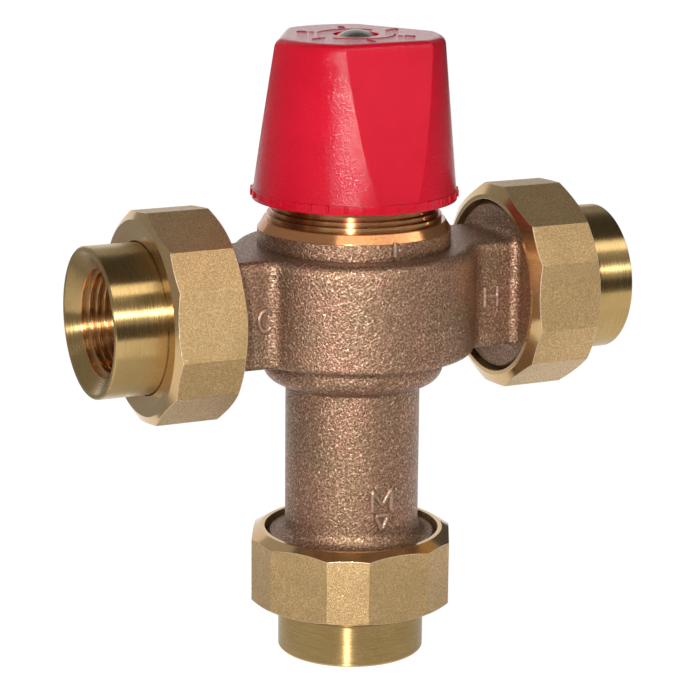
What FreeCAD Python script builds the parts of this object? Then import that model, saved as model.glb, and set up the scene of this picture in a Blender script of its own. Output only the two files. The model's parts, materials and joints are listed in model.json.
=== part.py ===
"""Three-way tempering mixing valve with union ends, as a parametric FreeCAD document.

Millimetres, +Z up. The origin is the centre of the mixed-water outlet's end face. The cold inlet points
along -X, the hot inlet along +X, and the adjusting cap stands on top of the vertical axis.
"""
import FreeCAD
import Part
import math
import os
import re

import Sketcher

# ---------------------------------------------------------------------------------------------------------
# Driving dimensions
# ---------------------------------------------------------------------------------------------------------
SIZES = {
    # overall layout
    "port_axis_height": 87.25,      # outlet end face to the axis of the two inlets
    "inlet_reach": 67.15,           # valve axis to each inlet's end face
    "tail_reach": 18.15,            # union seat to the end face of a tailpiece
    "running_clearance": 0.05,      # radial, between turning or sliding fits
    "seat_gap": 0.1,                # closed valve seats and other faces that nearly touch
    "cut_overrun": 1.0,             # how far a cut reaches past the face it opens
    # body casting
    "drum_radius": 29.0,
    "drum_above_axis": 13.5,
    "drum_below_axis": 12.2,
    "drum_top_round": 2.5,
    "drum_bottom_round": 1.2,
    "neck_radius": 23.1,
    "neck_above_drum": 4.0,
    "mouth_radius": 21.7,
    "mouth_height": 2.2,            # turned cone above the neck
    "bead_radius": 21.7,
    "bead_length": 7.6,
    "bead_round": 4.1,
    "leg_radius": 16.2,
    "arm_half_depth": 12.5,
    "arm_edge_round": 3.0,
    "cast_fillet": 4.0,
    "flange_fillet": 2.2,
    "leg_fillet": 3.4,
    "flange_chamfer": 1.1,          # back edge of each union flange
    "union_thread_radius": 20.95,   # 1-1/4 inch parallel union thread
    "union_thread_length": 11.3,
    # water ways
    "cover_thread_radius": 17.5,
    "chamber_radius": 23.0,
    "chamber_height": 9.5,          # port axis to the hot seat, and to the cold seat
    "web_half_height": 3.0,
    "outlet_bore_radius": 11.5,
    "spring_step_depth": 30.0,      # port axis down to the step that carries the spring seat
    "outlet_throat_radius": 10.5,
    "inlet_passage_radius": 8.8,
    "inlet_passage_end": 26.5,      # valve axis to the blind end of each inlet passage
    "crossing_half_width": 8.0,
    "seat_bore_radius": 12.5,       # shallow counterbore in each inlet's union seat
    "cartridge_bore_radius": 9.8,
    "cartridge_bore_depth": 17.5,
    # union nuts
    "nut_corner_radius": 25.2,
    "nut_wide_half_angle": 18.5,
    "nut_length": 18.3,
    "nut_mouth_radius": 21.15,
    "nut_mouth_depth": 2.5,
    "nut_face_radius": 22.9,
    "nut_rim_radius": 22.2,
    "nut_chamfer_angle": 30.0,
    "nut_wall": 2.55,
    "nut_tail_gap": 0.3,
    "nut_face_step": 0.5,
    "nut_step_radius": 20.8,
    # tailpieces and gaskets
    "gasket_thickness": 1.5,
    "gasket_radius": 19.2,
    "tail_radius": 17.75,
    "tail_collar_radius": 19.4,
    "tail_collar_thickness": 2.0,
    "pipe_thread_radius": 12.45,    # pitch radius of the 3/4 inch taper thread
    "pipe_thread_length": 11.4,
    "pipe_thread_lead": 0.9,         # step from the thread out to its mouth cone
    "pipe_mouth_radius": 16.5,
    "pipe_mouth_depth": 3.1,
    "pipe_throat_radius": 10.5,
    # inlet screens and check valves
    "screen_thickness": 1.0,
    "screen_hole_radius": 1.15,
    "screen_inner_pitch_radius": 4.2,
    "screen_outer_pitch_radius": 8.4,
    "check_length": 15.0,
    "check_flange_thickness": 1.8,
    "check_seat_thickness": 2.2,
    "check_seat_radius": 5.8,
    "check_wall": 1.2,
    "check_guide_thickness": 2.0,
    "check_window_radius": 1.7,
    "check_window_pitch_radius": 5.3,
    "poppet_radius": 7.0,
    "poppet_thickness": 2.0,
    "poppet_stem_radius": 1.6,
    "poppet_stem_length": 11.7,
    "check_spring_radius": 3.4,
    "check_spring_wire": 0.6,
    "check_spring_pitch": 2.6,
    # bonnet
    "cover_lip_radius": 20.8,
    "cover_lip_height": 1.3,
    "cover_step_radius": 20.0,
    "cover_step_height": 1.2,
    "cover_top_radius": 19.3,
    "cover_top_height": 4.5,
    "cover_boss_radius": 10.0,
    "cover_boss_height": 45.0,      # port axis to the boss's top face
    "cover_cone_height": 32.0,      # port axis to where the cover's cone meets the boss
    "carrier_bore_radius": 11.0,
    "carrier_bore_top": 30.5,       # port axis to the roof of the carrier's bore
    "key_width": 2.4,
    "key_depth": 1.5,
    "key_side_clearance": 0.1,
    "key_root": 0.5,                # how far the keys are sunk in the carrier
    # spindle
    "spindle_radius": 4.95,
    "spindle_collar_radius": 7.5,
    "spindle_collar_thickness": 2.0,
    "spindle_screw_radius": 5.0,
    "spindle_screw_end": 20.2,      # port axis to the screw's lower end
    "spindle_spline_radius": 4.3,
    "o_ring_wire": 0.9,             # section radius of the spindle's and shuttle's rings
    "o_ring_fit": 0.02,
    "spindle_ring_height": 38.0,
    "circlip_thickness": 1.0,
    "circlip_radius": 6.8,
    "circlip_gap_angle": 60.0,
    "circlip_grip": 0.9,            # depth of its groove in the spindle
    # carrier and overload spring
    "carrier_bottom": 11.0,
    "carrier_top": 26.6,
    "carrier_ceiling": 19.5,
    "carrier_cup_radius": 8.9,
    "snap_ring_thickness": 0.9,
    "snap_ring_width": 1.6,
    "snap_ring_grip": 0.6,
    "snap_ring_inset": 0.4,         # carrier's lower end to the ring's groove
    "overload_cup_thickness": 1.2,
    "overload_spring_radius": 7.3,
    "overload_spring_wire": 1.3,
    "overload_spring_pitch": 2.3,
    # wax element
    "piston_radius": 1.6,
    "piston_reach": 3.0,            # port axis down to the piston's inner end
    "element_bore_depth": 6.5,
    "element_nose_radius": 3.2,
    "element_nose_top": 8.0,
    "element_flange_radius": 6.6,
    "element_flange_thickness": 1.6,
    "element_radius": 4.9,
    "element_shoulder": 11.0,
    "bulb_radius": 4.4,
    "bulb_end": 34.0,
    "bulb_round": 2.2,
    # shuttle and return spring
    "shuttle_radius": 14.0,
    "shuttle_wall": 1.7,
    "shuttle_half_height": 8.0,
    "shuttle_hub_half_height": 1.5,
    "shuttle_window_radius": 2.3,
    "shuttle_window_pitch_radius": 8.9,
    "return_spring_radius": 8.9,
    "return_spring_wire": 1.2,
    "return_spring_pitch": 3.6,
    "spring_seat_thickness": 1.8,
    "spring_seat_bore": 7.6,
    # adjusting cap
    "cap_base": 24.7,               # port axis to the cap's rim
    "cap_top": 63.3,
    "cap_rim_radius": 24.4,
    "cap_rim_height": 2.2,
    "cap_base_radius": 24.2,
    "cap_top_radius": 21.0,
    "cap_top_round": 2.2,
    "cap_flat_top": 17.7,           # apothem of the flats at the cap's top
    "cap_flat_base": 23.69,         # and at the top of its rim
    "cap_wall": 2.0,
    "cap_roof": 2.6,
    "cap_hub_radius": 7.0,
    "cap_hub_end": 48.0,
    "cap_hub_roof": 3.8,            # cap's dish down to the roof of its hub
    "cap_tooth_depth": 0.4,
    "cap_tooth_width": 1.0,
    "cap_tooth_root": 0.5,
    "cap_tooth_lift": 0.6,          # rim's lower face to the foot of its ribs
    "cap_dish_radius": 5.4,
    "cap_dish_depth": 0.9,
    # cap screw
    "screw_head_radius": 4.45,
    "screw_dome": 2.0,
    "screw_edge": 0.5,              # straight part of the head's side
    "screw_radius": 2.0,
    "screw_length": 10.0,
    "screw_end_gap": 1.0,
}
FLAT_COUNT = 6                      # wide facets on a union nut
CAP_FLATS = 3
CAP_TEETH = 36
SCREEN_RINGS = {"screen_inner_pitch_radius": 6, "screen_outer_pitch_radius": 12}
CHECK_WINDOWS = 6
SHUTTLE_WINDOWS = 6

# The nuts stop wherever they were tightened: turn of the first wide facet about the port axis.
NUT_TURNS = {"cold": 35.9, "hot": 27.2, "outlet": 26.9}

document = FreeCAD.newDocument("MixingValve")
sheet = document.addObject("Spreadsheet::Sheet", "Sizes")
for row, (alias, number) in enumerate(SIZES.items(), start=1):
    sheet.set("A%d" % row, alias)
    sheet.set("B%d" % row, repr(number))
    sheet.setAlias("B%d" % row, alias)
document.recompute()

WORD = re.compile(r"[a-z][a-z_]*")
NEAR = 0.01                         # how close counts as on an edge or a face
nodes = []


# ---------------------------------------------------------------------------------------------------------
# Helpers: expressions, sketches and features
# ---------------------------------------------------------------------------------------------------------
def bound(expression):
    """Point each size named in an expression at its cell in the sheet."""
    return WORD.sub(lambda word: "Sizes." + word[0] if word[0] in SIZES else word[0], expression)


def value(expression):
    return float(sheet.evalExpression(expression))


def bind(thing, prop, expression):
    thing.setExpression(prop, bound(expression))


def new_body(label, place=None):
    """A body for one physical piece, put where its own frame belongs."""
    body = document.addObject("PartDesign::Body", label)
    body.Label = label
    if place is not None:
        place(body)
    nodes.append(body)
    return body


def plane(body, role):
    return next(item for item in body.Origin.OriginFeatures if item.Role == role)


def new_sketch(body, role, offset="0"):
    """A sketch on one of the body's origin planes, moved along the plane's normal by an expression."""
    sketch = body.newObject("Sketcher::SketchObject", body.Label + "_sketch")
    sketch.AttachmentSupport = (plane(body, role), [""])
    sketch.MapMode = "FlatFace"
    if offset != "0":
        bind(sketch, ".AttachmentOffset.Base.z", offset)
    return sketch


def pin_vertex(sketch, edge, end, along, expression):
    """Hold one coordinate of a sketch point at an expression."""
    if expression == "0":
        axis = -2 if along == "X" else -1
        sketch.addConstraint(Sketcher.Constraint("PointOnObject", edge, end, axis))
        return
    name = "Distance" + along
    index = sketch.addConstraint(Sketcher.Constraint(name, -1, 1, edge, end, value(expression)))
    bind(sketch, "Constraints[%d]" % index, expression)


def draw_outline(sketch, corners):
    """A closed outline of straight edges through corners given as pairs of expressions."""
    points = [FreeCAD.Vector(value(x), value(y), 0) for x, y in corners]
    count = len(points)
    for index in range(count):
        sketch.addGeometry(Part.LineSegment(points[index], points[(index + 1) % count]), False)
    for index in range(count):
        sketch.addConstraint(Sketcher.Constraint("Coincident", index, 2, (index + 1) % count, 1))
    for index, (x, y) in enumerate(corners):
        pin_vertex(sketch, index, 1, "X", x)
        pin_vertex(sketch, index, 1, "Y", y)


def draw_circle(sketch, radius, x="0", y="0"):
    centre = FreeCAD.Vector(value(x), value(y), 0)
    edge = sketch.addGeometry(Part.Circle(centre, FreeCAD.Vector(0, 0, 1), value(radius)), False)
    index = sketch.addConstraint(Sketcher.Constraint("Radius", edge, value(radius)))
    bind(sketch, "Constraints[%d]" % index, radius)
    if x == "0" and y == "0":
        sketch.addConstraint(Sketcher.Constraint("Coincident", edge, 3, -1, 1))
        return
    pin_vertex(sketch, edge, 3, "X", x)
    pin_vertex(sketch, edge, 3, "Y", y)


def turn(body, corners, kind="Revolution"):
    """Revolve an (r, z) outline about the body's Z axis; kind Groove cuts it away instead."""
    sketch = new_sketch(body, "XZ_Plane")
    draw_outline(sketch, corners)
    feature = body.newObject("PartDesign::" + kind, body.Label + "_" + kind.lower())
    feature.Profile = sketch
    feature.ReferenceAxis = (sketch, ["V_Axis"])
    feature.Angle = 360
    document.recompute()
    return feature


def tube(body, inner, outer, low, high, kind="Revolution"):
    return turn(body, [(inner, low), (outer, low), (outer, high), (inner, high)], kind)


def dome(body, radius, low, edge, rise):
    """A head with a straight edge under a spherical top."""
    base = value(low)
    shoulder = base + value(edge)
    reach = value(radius)
    height = value(rise) - value(edge)
    sphere = (reach ** 2 + height ** 2) / (2 * height)
    middle = FreeCAD.Vector(0, shoulder + height - sphere, 0)
    sketch = new_sketch(body, "XZ_Plane")
    corners = [FreeCAD.Vector(0, base + height + value(edge), 0), FreeCAD.Vector(0, base, 0),
               FreeCAD.Vector(reach, base, 0), FreeCAD.Vector(reach, shoulder, 0)]
    for start, end in zip(corners, corners[1:]):
        sketch.addGeometry(Part.LineSegment(start, end), False)
    low_angle = math.asin((sphere - height) / sphere)
    circle = Part.Circle(middle, FreeCAD.Vector(0, 0, 1), sphere)
    sketch.addGeometry(Part.ArcOfCircle(circle, low_angle, math.pi / 2), False)
    for first, second in ((0, 1), (1, 2), (2, 3)):
        sketch.addConstraint(Sketcher.Constraint("Coincident", first, 2, second, 1))
    sketch.addConstraint(Sketcher.Constraint("Coincident", 3, 2, 0, 1))
    sketch.addConstraint(Sketcher.Constraint("PointOnObject", 3, 3, -2))
    heads = [("0", low + " + " + rise), ("0", low), (radius, low), (radius, low + " + " + edge)]
    for index, (x, y) in enumerate(heads):
        geometry = min(index, 2)
        end = 2 if index == 3 else 1
        pin_vertex(sketch, geometry, end, "X", x)
        pin_vertex(sketch, geometry, end, "Y", y)
    feature = body.newObject("PartDesign::Revolution", body.Label + "_dome")
    feature.Profile = sketch
    feature.ReferenceAxis = (sketch, ["V_Axis"])
    feature.Angle = 360
    document.recompute()


def extrude(body, sketch, length, kind="Pad", reverse=False, midplane=False):
    """Pad or pocket a sketch by an expression."""
    feature = body.newObject("PartDesign::" + kind, body.Label + "_" + kind.lower())
    feature.Profile = sketch
    feature.Reversed = reverse
    feature.Midplane = midplane
    bind(feature, "Length", length)
    document.recompute()
    return feature


def repeat(body, feature, count, role="Z_Axis"):
    """Repeat a feature evenly round one of the body's axes."""
    pattern = body.newObject("PartDesign::PolarPattern", body.Label + "_pattern")
    pattern.Originals = [feature]
    pattern.Axis = (plane(body, role), [""])
    pattern.Angle = 360
    pattern.Occurrences = count
    body.Tip = pattern
    document.recompute()
    return pattern


def edges_where(feature, test):
    """Names of the feature's edges whose midpoint and curve pass a test."""
    names = []
    for index, edge in enumerate(feature.Shape.Edges, start=1):
        middle = edge.valueAt((edge.FirstParameter + edge.LastParameter) / 2)
        if test(edge, middle):
            names.append("Edge%d" % index)
    return names


def dress(body, feature, names, size, kind="Fillet"):
    """Round or chamfer named edges of a feature."""
    dressed = body.newObject("PartDesign::" + kind, body.Label + "_" + kind.lower())
    dressed.Base = (feature, names)
    bind(dressed, "Radius" if kind == "Fillet" else "Size", size)
    document.recompute()
    return dressed


def ring_edges(feature, radius, height):
    """Circular edges of a turned piece at an (r, z) corner."""
    r = value(radius)
    z = value(height)

    def on_corner(edge, middle):
        return abs(math.hypot(middle.x, middle.y) - r) < NEAR and abs(middle.z - z) < NEAR

    return edges_where(feature, on_corner)


def coil(body, radius, wire, low, high, pitch):
    """A round-wire compression spring between two heights on the body's Z axis."""
    sketch = new_sketch(body, "XZ_Plane")
    draw_circle(sketch, wire + " / 2", radius, low + " + " + wire + " / 2")
    feature = body.newObject("PartDesign::AdditiveHelix", body.Label + "_helix")
    feature.Profile = sketch
    feature.ReferenceAxis = (sketch, ["V_Axis"])
    feature.Mode = "pitch-height-angle"
    bind(feature, "Pitch", pitch)
    bind(feature, "Height", "(" + high + ") - (" + low + ") - " + wire)
    document.recompute()
    return feature


def split_ring(label, inner, outer, low, thickness):
    """A flat retaining ring with a gap, in a groove."""
    body = new_body(label)
    ring = tube(body, inner, outer, low, low + " + " + thickness)
    sketch = new_sketch(body, "XY_Plane", low + " - cut_overrun")
    reach = "(2 * (" + outer + "))"
    half = "circlip_gap_angle / 2"
    draw_outline(sketch, [
        ("0", "0"),
        (reach + " * cos(" + half + ")", "-" + reach + " * sin(" + half + ")"),
        (reach + " * cos(" + half + ")", reach + " * sin(" + half + ")"),
    ])
    before = ring.Shape.Volume
    gap = extrude(body, sketch, thickness + " + 2 * cut_overrun", "Pocket", reverse=True)
    assert gap.Shape.Volume < before
    return body


# ---------------------------------------------------------------------------------------------------------
# Places: each port's own frame has +Z outward along the port and its origin in the union seat
# ---------------------------------------------------------------------------------------------------------
Y_AXIS = FreeCAD.Vector(0, 1, 0)
X_AXIS = FreeCAD.Vector(1, 0, 0)
Z_AXIS = FreeCAD.Vector(0, 0, 1)
INLET_SEAT = "inlet_reach - tail_reach"
OUTLET_DROP = "port_axis_height - tail_reach"       # port axis down to the outlet's union seat
CHECK_FRONT = "(-(screen_thickness + 2 * seat_gap))"
FLANGE_BACK = CHECK_FRONT + " - check_flange_thickness"


def place_cold(body, spin=0.0):
    body.Placement.Rotation = FreeCAD.Rotation(Y_AXIS, -90) * FreeCAD.Rotation(Z_AXIS, spin)
    bind(body, ".Placement.Base.x", "tail_reach - inlet_reach")
    bind(body, ".Placement.Base.z", "port_axis_height")


def place_hot(body, spin=0.0):
    body.Placement.Rotation = FreeCAD.Rotation(Y_AXIS, 90) * FreeCAD.Rotation(Z_AXIS, spin)
    bind(body, ".Placement.Base.x", "inlet_reach - tail_reach")
    bind(body, ".Placement.Base.z", "port_axis_height")


def place_outlet(body, spin=0.0):
    body.Placement.Rotation = FreeCAD.Rotation(X_AXIS, 180) * FreeCAD.Rotation(Z_AXIS, spin)
    bind(body, ".Placement.Base.z", "tail_reach")


def on_port_axis(body):
    bind(body, ".Placement.Base.z", "port_axis_height")


PORTS = {"cold": place_cold, "hot": place_hot, "outlet": place_outlet}
INLETS = {"cold": place_cold, "hot": place_hot}


# ---------------------------------------------------------------------------------------------------------
# Body casting: drum, neck, bead, leg, two box arms and three male union flanges
# ---------------------------------------------------------------------------------------------------------
def cast_blank(body):
    """The casting's outside, about the port axis level z = 0."""
    neck_top = "drum_above_axis + neck_above_drum"
    mouth_top = neck_top + " + mouth_height"
    bead_end = "-(drum_below_axis + bead_length)"
    flange_back = "-(" + OUTLET_DROP + " - union_thread_length)"
    seat = "-(" + OUTLET_DROP + ")"
    blank = turn(body, [
        ("0", seat),
        ("union_thread_radius", seat),
        ("union_thread_radius", flange_back),
        ("leg_radius", flange_back),
        ("leg_radius", bead_end),
        ("bead_radius", bead_end),
        ("bead_radius", "-drum_below_axis"),
        ("drum_radius", "-drum_below_axis"),
        ("drum_radius", "drum_above_axis"),
        ("neck_radius", "drum_above_axis"),
        ("neck_radius", neck_top),
        ("mouth_radius", mouth_top),
        ("0", mouth_top),
    ])
    arms = new_sketch(body, "YZ_Plane")
    draw_outline(arms, [
        ("-arm_half_depth", "-drum_below_axis"),
        ("arm_half_depth", "-drum_below_axis"),
        ("arm_half_depth", "drum_above_axis"),
        ("-arm_half_depth", "drum_above_axis"),
    ])
    arm_length = "2 * (" + INLET_SEAT + " - union_thread_length)"
    blank = extrude(body, arms, arm_length, midplane=True)
    round_casting(body, blank)
    for side in ("", "-"):
        flange = new_sketch(body, "YZ_Plane", side + "(" + INLET_SEAT + " - union_thread_length)")
        draw_circle(flange, "union_thread_radius")
        blank = extrude(body, flange, "union_thread_length", reverse=side == "-")
    return round_flanges(body, blank)


def round_casting(body, blank):
    """Foundry radii between drum, arms, neck, bead and leg."""
    inside = value("drum_radius")
    depth = value("arm_half_depth")
    top = value("drum_above_axis")
    bottom = -value("drum_below_axis")
    neck = value("neck_radius")

    def arm_root(edge, middle):
        upright = abs(edge.tangentAt(edge.FirstParameter).z) > 1 - NEAR
        on_drum = abs(math.hypot(middle.x, middle.y) - inside) < NEAR
        return upright and on_drum and abs(abs(middle.y) - depth) < NEAR

    def shoulder(level):
        def outside_neck(edge, middle):
            beyond = math.hypot(middle.x, middle.y) > neck + NEAR
            return abs(middle.z - level) < NEAR and beyond and abs(middle.y) > NEAR
        return outside_neck

    blank = dress(body, blank, edges_where(blank, arm_root), "cast_fillet")
    blank = dress(body, blank, edges_where(blank, shoulder(top)), "drum_top_round")
    blank = dress(body, blank, edges_where(blank, shoulder(bottom)), "drum_bottom_round")
    bead_end = "-(drum_below_axis + bead_length)"
    blank = dress(body, blank, ring_edges(blank, "bead_radius", bead_end), "bead_round")
    return blank


def round_flanges(body, blank):
    """The flare where the leg and the arms run into the backs of their flanges."""
    flange_back = "-(" + OUTLET_DROP + " - union_thread_length)"
    blank = dress(body, blank, ring_edges(blank, "leg_radius", flange_back), "leg_fillet")
    back = value(INLET_SEAT + " - union_thread_length")
    depth = value("arm_half_depth")
    flange = value("union_thread_radius")
    bottom = value(flange_back)

    def arm_end(edge, middle):
        inside = math.hypot(middle.y, middle.z) < flange - NEAR
        return inside and abs(abs(middle.x) - back) < NEAR and abs(middle.y) < depth + NEAR

    def thread_end(edge, middle):
        beside = abs(math.hypot(middle.y, middle.z) - flange) < NEAR and abs(abs(middle.x) - back) < NEAR
        below = abs(math.hypot(middle.x, middle.y) - flange) < NEAR and abs(middle.z - bottom) < NEAR
        return beside or below

    blank = dress(body, blank, edges_where(blank, arm_end), "flange_fillet")
    return dress(body, blank, edges_where(blank, thread_end), "flange_chamfer", "Chamfer")


def bore_casting(body):
    """The outlet bore, the two ring chambers with the web between them, and the inlet passages."""
    mouth_top = "drum_above_axis + neck_above_drum + mouth_height"
    outlet_seat = "-(" + OUTLET_DROP + ")"
    turn(body, [
        ("0", outlet_seat),
        ("outlet_throat_radius", outlet_seat),
        ("outlet_throat_radius", "-spring_step_depth"),
        ("outlet_bore_radius", "-spring_step_depth"),
        ("outlet_bore_radius", "-chamber_height"),
        ("chamber_radius", "-chamber_height"),
        ("chamber_radius", "-web_half_height"),
        ("shuttle_radius + running_clearance", "-web_half_height"),
        ("shuttle_radius + running_clearance", "web_half_height"),
        ("chamber_radius", "web_half_height"),
        ("chamber_radius", "chamber_height"),
        ("cover_thread_radius", "chamber_height"),
        ("cover_thread_radius", mouth_top),
        ("0", mouth_top),
    ], "Groove")
    for side in ("", "-"):
        for radius, depth in (("seat_bore_radius", "-(" + FLANGE_BACK + ")"),
                              ("cartridge_bore_radius", "cartridge_bore_depth"),
                              ("inlet_passage_radius", INLET_SEAT + " - inlet_passage_end")):
            bore = new_sketch(body, "YZ_Plane", side + "(" + INLET_SEAT + ")")
            draw_circle(bore, radius)
            extrude(body, bore, depth, "Pocket", reverse=side == "-")
    for side, low, high in (("", "web_half_height", "chamber_height"),
                            ("-", "-chamber_height", "-web_half_height")):
        crossing = new_sketch(body, "YZ_Plane", side + "(inlet_passage_end + cut_overrun)")
        draw_outline(crossing, [
            ("-crossing_half_width", low),
            ("crossing_half_width", low),
            ("crossing_half_width", high),
            ("-crossing_half_width", high),
        ])
        extrude(body, crossing, "inlet_passage_end + cut_overrun - chamber_radius / 2", "Pocket",
                reverse=side == "-")


def make_valve_body():
    body = new_body("valve_body", on_port_axis)
    solid = cast_blank(body)
    before = solid.Shape.Volume
    bore_casting(body)
    assert body.Shape.Volume < before


# ---------------------------------------------------------------------------------------------------------
# Union nuts, tailpieces and gaskets, in each port's own frame
# ---------------------------------------------------------------------------------------------------------
def make_union_nut(port, place):
    """A hexagon whose corners are cut to narrow facets, coned at both ends."""
    body = new_body(port + "_union_nut", lambda item: place(item, NUT_TURNS[port]))
    shoulder = "(gasket_thickness + tail_collar_thickness)"
    face = "(" + shoulder + " + nut_wall)"
    rim = "(" + face + " - nut_length)"
    sketch = new_sketch(body, "XY_Plane", rim)
    corners = []
    for facet in range(FLAT_COUNT):
        for sign in ("-", "+"):
            angle = "(%d %s nut_wide_half_angle)" % (facet * 360 // FLAT_COUNT, sign)
            corners.append(("nut_corner_radius * cos" + angle, "nut_corner_radius * sin" + angle))
    draw_outline(sketch, corners)
    extrude(body, sketch, "nut_length")
    for end, circle, sign in ((face, "nut_face_radius", "-"), (rim, "nut_rim_radius", "+")):
        outside = "(nut_corner_radius + cut_overrun)"
        drop = "(" + outside + " - " + circle + ") * tan(nut_chamfer_angle)"
        turn(body, [
            (circle, end),
            (outside, end),
            (outside, end + " " + sign + " " + drop),
        ], "Groove")
    bore = "union_thread_radius + running_clearance"
    mouth = rim + " + nut_mouth_depth"
    turn(body, [
        ("0", rim),
        ("nut_mouth_radius", rim),
        ("nut_mouth_radius", mouth),
        (bore, mouth + " + nut_mouth_radius - union_thread_radius"),
        (bore, shoulder),
        ("tail_radius + nut_tail_gap", shoulder),
        ("tail_radius + nut_tail_gap", face + " - nut_face_step"),
        ("nut_step_radius", face),
        ("0", face),
    ], "Groove")


def make_tailpiece(port, place):
    """The collar held by the nut, and the tail with the mouth of its pipe thread."""
    body = new_body(port + "_tailpiece", place)
    collar_end = "gasket_thickness + tail_collar_thickness"
    thread_end = "tail_reach - pipe_mouth_depth"
    thread_start = thread_end + " - pipe_thread_length"
    turn(body, [
        ("pipe_throat_radius", "gasket_thickness"),
        ("tail_collar_radius", "gasket_thickness"),
        ("tail_collar_radius", collar_end + " - seat_gap"),
        ("tail_radius", collar_end + " - seat_gap"),
        ("tail_radius", "tail_reach"),
        ("pipe_mouth_radius", "tail_reach"),
        ("pipe_thread_radius + pipe_thread_lead", thread_end),
        ("pipe_thread_radius", thread_end),
        ("pipe_thread_radius", thread_start),
        ("pipe_throat_radius", thread_start),
    ])


def make_gasket(port, place):
    body = new_body(port + "_gasket", place)
    tube(body, "seat_bore_radius", "gasket_radius", "0", "gasket_thickness")


# ---------------------------------------------------------------------------------------------------------
# Inlet screen and check valve cartridge, in each inlet's own frame, inward of the union seat
# ---------------------------------------------------------------------------------------------------------
CARTRIDGE_RADIUS = "(cartridge_bore_radius - seat_gap)"
INSERT_RADIUS = "(seat_bore_radius - seat_gap)"
CHECK_BACK = "(" + CHECK_FRONT + " - check_length)"
CHECK_SEAT = "(" + CHECK_FRONT + " - check_seat_thickness)"
CHECK_BORE = "(" + CARTRIDGE_RADIUS + " - check_wall)"
POPPET_BACK = "(" + CHECK_SEAT + " - seat_gap - poppet_thickness)"


def make_inlet_screen(port, place):
    body = new_body(port + "_inlet_screen", place)
    disc = tube(body, "0", INSERT_RADIUS, "-(screen_thickness + seat_gap)", "-seat_gap")
    before = disc.Shape.Volume
    for pitch_radius, count in SCREEN_RINGS.items():
        sketch = new_sketch(body, "XY_Plane", "0")
        draw_circle(sketch, "screen_hole_radius", pitch_radius)
        hole = extrude(body, sketch, "screen_thickness + cut_overrun", "Pocket")
        repeat(body, hole, count)
    sketch = new_sketch(body, "XY_Plane", "0")
    draw_circle(sketch, "screen_hole_radius")
    extrude(body, sketch, "screen_thickness + cut_overrun", "Pocket")
    assert body.Shape.Volume < before


def make_check_valve(port, place):
    """Housing with its seat, sprung poppet and windowed stem guide."""
    housing = new_body(port + "_check_housing", place)
    turn(housing, [
        ("check_seat_radius", CHECK_FRONT),
        (INSERT_RADIUS, CHECK_FRONT),
        (INSERT_RADIUS, FLANGE_BACK),
        (CARTRIDGE_RADIUS, FLANGE_BACK),
        (CARTRIDGE_RADIUS, CHECK_BACK),
        (CHECK_BORE, CHECK_BACK),
        (CHECK_BORE, CHECK_SEAT),
        ("check_seat_radius", CHECK_SEAT),
    ])
    guide = new_body(port + "_check_guide", place)
    disc = tube(guide, "poppet_stem_radius + running_clearance", CHECK_BORE + " - seat_gap",
                CHECK_BACK, CHECK_BACK + " + check_guide_thickness")
    before = disc.Shape.Volume
    sketch = new_sketch(guide, "XY_Plane", CHECK_BACK + " - cut_overrun")
    draw_circle(sketch, "check_window_radius", "check_window_pitch_radius")
    window = extrude(guide, sketch, "check_guide_thickness + 2 * cut_overrun", "Pocket", reverse=True)
    repeat(guide, window, CHECK_WINDOWS)
    assert guide.Shape.Volume < before
    poppet = new_body(port + "_check_poppet", place)
    turn(poppet, [
        ("0", CHECK_SEAT + " - seat_gap"),
        ("poppet_radius", CHECK_SEAT + " - seat_gap"),
        ("poppet_radius", POPPET_BACK),
        ("poppet_stem_radius", POPPET_BACK),
        ("poppet_stem_radius", POPPET_BACK + " - poppet_stem_length"),
        ("0", POPPET_BACK + " - poppet_stem_length"),
    ])
    spring = new_body(port + "_check_spring", place)
    coil(spring, "check_spring_radius", "check_spring_wire",
         CHECK_BACK + " + check_guide_thickness", POPPET_BACK, "check_spring_pitch")


# ---------------------------------------------------------------------------------------------------------
# Bonnet with its ring
# ---------------------------------------------------------------------------------------------------------
COVER_SEAT = "(drum_above_axis + neck_above_drum + mouth_height)"
LIP_TOP = "(" + COVER_SEAT + " + cover_lip_height)"
STEP_TOP = "(" + LIP_TOP + " + cover_step_height)"
TOP_RING = "(" + STEP_TOP + " + cover_top_height)"
RING_GROOVE = "(2 * o_ring_wire)"


def make_bonnet():
    body = new_body("bonnet", on_port_axis)
    thread = "cover_thread_radius - running_clearance"
    spindle_bore = "spindle_radius + running_clearance"
    groove_top = COVER_SEAT + " - o_ring_wire"
    turn(body, [
        ("carrier_bore_radius", "chamber_height"),
        (thread, "chamber_height"),
        (thread, groove_top + " - " + RING_GROOVE),
        (thread + " - " + RING_GROOVE, groove_top + " - " + RING_GROOVE),
        (thread + " - " + RING_GROOVE, groove_top),
        (thread, groove_top),
        (thread, COVER_SEAT),
        ("cover_lip_radius", COVER_SEAT),
        ("cover_lip_radius", LIP_TOP),
        ("cover_step_radius", LIP_TOP),
        ("cover_step_radius", STEP_TOP),
        ("cover_top_radius", STEP_TOP),
        ("cover_top_radius", TOP_RING),
        ("cover_boss_radius", "cover_cone_height"),
        ("cover_boss_radius", "cover_boss_height"),
        (spindle_bore, "cover_boss_height"),
        (spindle_bore, "carrier_bore_top"),
        ("carrier_bore_radius", "carrier_bore_top"),
    ])
    before = body.Shape.Volume
    sketch = new_sketch(body, "XY_Plane", "chamber_height - cut_overrun")
    reach = "carrier_bore_radius + key_depth"
    draw_outline(sketch, [
        ("-(" + reach + ")", "-key_width / 2"),
        (reach, "-key_width / 2"),
        (reach, "key_width / 2"),
        ("-(" + reach + ")", "key_width / 2"),
    ])
    extrude(body, sketch, "carrier_bore_top - chamber_height + cut_overrun", "Pocket", reverse=True)
    assert body.Shape.Volume < before
    ring = new_body("bonnet_o_ring", on_port_axis)
    outside = "cover_thread_radius - o_ring_fit"
    draw_ring(ring, outside, groove_top + " - o_ring_wire")


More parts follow.
